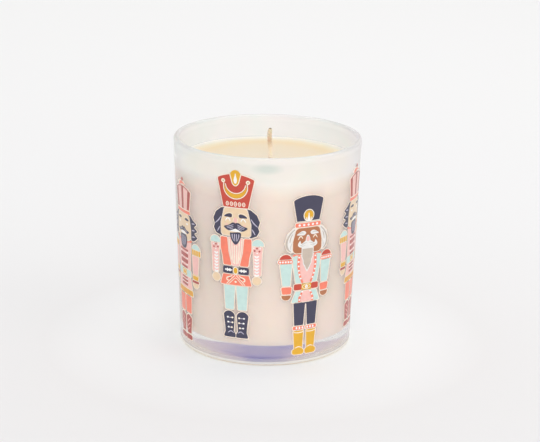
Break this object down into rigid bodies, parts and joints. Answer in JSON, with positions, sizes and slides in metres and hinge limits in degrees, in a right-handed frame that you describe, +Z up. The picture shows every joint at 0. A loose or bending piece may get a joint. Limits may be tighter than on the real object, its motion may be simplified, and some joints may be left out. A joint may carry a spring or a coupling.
{
  "type": "printed jar candle",
  "caption": "Poured candle in a heavy-based tapered glass tumbler with a pearl lustre, printed all round with toy-soldier figures.",
  "frame": {"origin": "centre of the standing plane, under the tumbler's axis", "axes": "+Z up along the tumbler's axis, -Y towards the front, +X to the front viewer's right"},
  "size_m": [0.0859, 0.086, 0.1008],
  "materials": {
    "lustre_glass": "clear pressed glass with a thin pearl lustre",
    "candle_wax": "cream poured wax, satin, a little translucent",
    "waxed_cotton": "braided cotton primed with wax, the tip darker",
    "tinned_steel": "tinned steel sheet",
    "hot_glue": "hot-melt glue",
    "cream_ink": "cream fired enamel, the keyline and underprint",
    "red_ink": "red fired enamel",
    "navy_ink": "navy fired enamel",
    "gold_ink": "golden yellow fired enamel",
    "skin_ink": "light skin fired enamel",
    "brown_ink": "brown skin fired enamel",
    "coral_ink": "coral fired enamel",
    "pink_ink": "pink fired enamel",
    "mint_ink": "mint fired enamel",
    "dark_red_ink": "dark red fired enamel",
    "taupe_ink": "taupe fired enamel",
    "white_ink": "white fired enamel"
  },
  "bodies": {
    "root": {"glass_tumbler": "lustre_glass", "navy_hat_soldier_brown_ink": "brown_ink", "navy_hat_soldier_coral_ink": "coral_ink", "navy_hat_soldier_cream_ink": "cream_ink", "navy_hat_soldier_gold_ink": "gold_ink", "navy_hat_soldier_mint_ink": "mint_ink", "navy_hat_soldier_navy_ink": "navy_ink", "navy_hat_soldier_pink_ink": "pink_ink", "navy_hat_soldier_red_ink": "red_ink", "navy_hat_soldier_taupe_ink": "taupe_ink", "navy_hat_soldier_white_ink": "white_ink", "red_hat_soldier_coral_ink": "coral_ink", "red_hat_soldier_cream_ink": "cream_ink", "red_hat_soldier_dark_red_ink": "dark_red_ink", "red_hat_soldier_gold_ink": "gold_ink", "red_hat_soldier_mint_ink": "mint_ink", "red_hat_soldier_navy_ink": "navy_ink", "red_hat_soldier_pink_ink": "pink_ink", "red_hat_soldier_red_ink": "red_ink", "red_hat_soldier_skin_ink": "skin_ink", "striped_hat_soldier_coral_ink": "coral_ink", "striped_hat_soldier_cream_ink": "cream_ink", "striped_hat_soldier_dark_red_ink": "dark_red_ink", "striped_hat_soldier_gold_ink": "gold_ink", "striped_hat_soldier_mint_ink": "mint_ink", "striped_hat_soldier_navy_ink": "navy_ink", "striped_hat_soldier_pink_ink": "pink_ink", "striped_hat_soldier_skin_ink": "skin_ink", "sustainer_glue_pad": "hot_glue", "wax_fill": "candle_wax", "wick_braid": "waxed_cotton", "wick_sustainer": "tinned_steel"}
  },
  "joints": []
}
